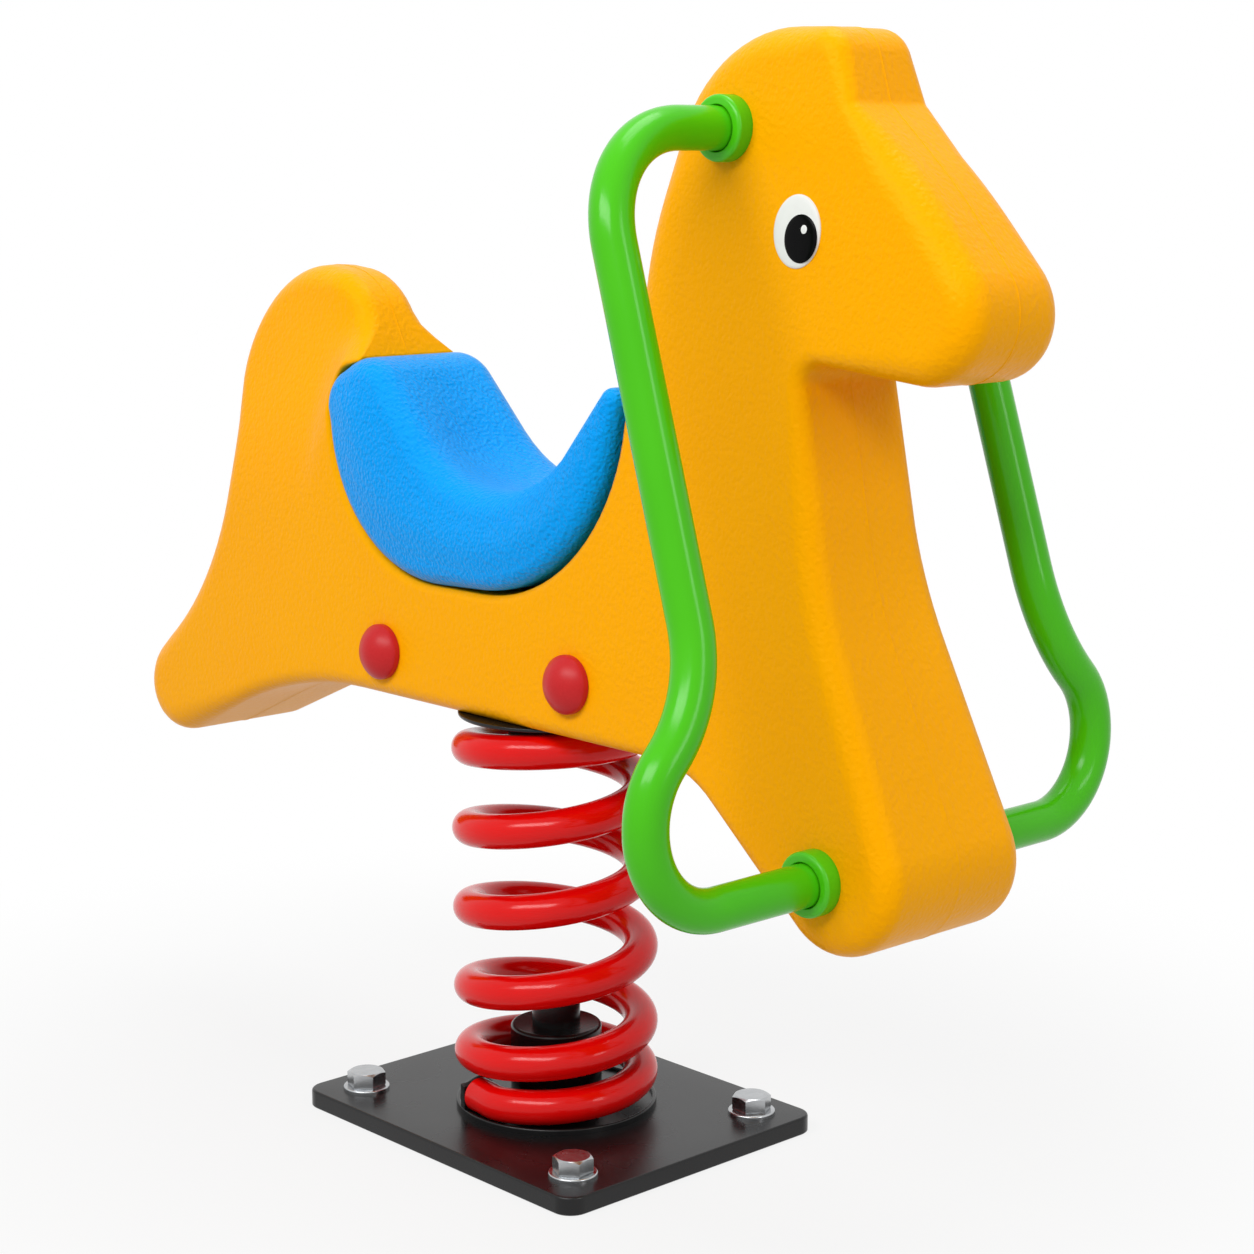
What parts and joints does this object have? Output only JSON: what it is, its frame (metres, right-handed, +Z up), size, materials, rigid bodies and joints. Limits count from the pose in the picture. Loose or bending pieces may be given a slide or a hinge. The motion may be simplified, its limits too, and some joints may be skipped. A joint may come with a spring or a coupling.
{
  "type": "spring rider",
  "caption": "Playground spring rider: a moulded animal-shaped body with a saddle and bent tube side rails, rocking on a coil spring bolted to a base plate.",
  "frame": {"origin": "centre of the base plate's underside, on the spring's axis", "axes": "+X forward, from the tail to the nose; +Y towards the animal's left; +Z up along the spring"},
  "size_m": [0.9199, 0.4812, 0.838],
  "materials": {
    "black_coated_steel": "satin powder coat",
    "zinc_plated_steel": "bright zinc",
    "red_coated_spring_steel": "gloss powder coat",
    "galvanised_steel": "dull zinc",
    "red_cap_plastic": "satin",
    "yellow_moulded_plastic": "fine leather grain",
    "blue_moulded_plastic": "coarse leather grain",
    "white_eye_plastic": "gloss",
    "black_eye_plastic": "gloss",
    "green_coated_tube": "gloss powder coat",
    "green_collar_plastic": "gloss",
    "black_plug_plastic": "matt"
  },
  "bodies": {
    "base": {"base_plate": "black_coated_steel", "anchor_bolts": "zinc_plated_steel", "anchor_washers": "zinc_plated_steel", "lower_cup": "black_coated_steel", "lower_spigot": "black_coated_steel", "spigot_stud": "black_coated_steel", "lower_end_stop": "black_coated_steel"},
    "coil": {"spring": "red_coated_spring_steel"},
    "rider": {"head_plate": "black_coated_steel", "upper_spigot": "black_coated_steel", "upper_end_stop": "black_coated_steel", "head_screws": "zinc_plated_steel", "head_nuts": "zinc_plated_steel", "cradle": "galvanised_steel", "cradle_bolts": "zinc_plated_steel", "cradle_washers": "zinc_plated_steel", "cradle_nuts": "zinc_plated_steel", "bolt_caps": "red_cap_plastic", "body_shell": "yellow_moulded_plastic", "saddle": "blue_moulded_plastic", "saddle_screws": "zinc_plated_steel", "eye_whites": "white_eye_plastic", "eye_pupils": "black_eye_plastic", "rail_right": "green_coated_tube", "rail_left": "green_coated_tube", "upper_collars": "green_collar_plastic", "lower_collars": "green_collar_plastic", "upper_tie_rod": "zinc_plated_steel", "lower_tie_rod": "zinc_plated_steel", "rail_plugs": "black_plug_plastic"}
  },
  "joints": [
    {"name": "rock_fore_aft", "type": "hinge", "parent": "base", "child": "coil", "pos_m": [0, 0, 0.102], "axis": [0, 1, 0], "range_deg": [-20, 20], "stiffness_Nm_per_rad": 900, "deforming": ["spring"]},
    {"name": "rock_sideways", "type": "hinge", "parent": "coil", "child": "rider", "pos_m": [0, 0, 0.243], "axis": [1, 0, 0], "range_deg": [-12, 12], "stiffness_Nm_per_rad": 900, "deforming": ["spring"]}
  ]
}
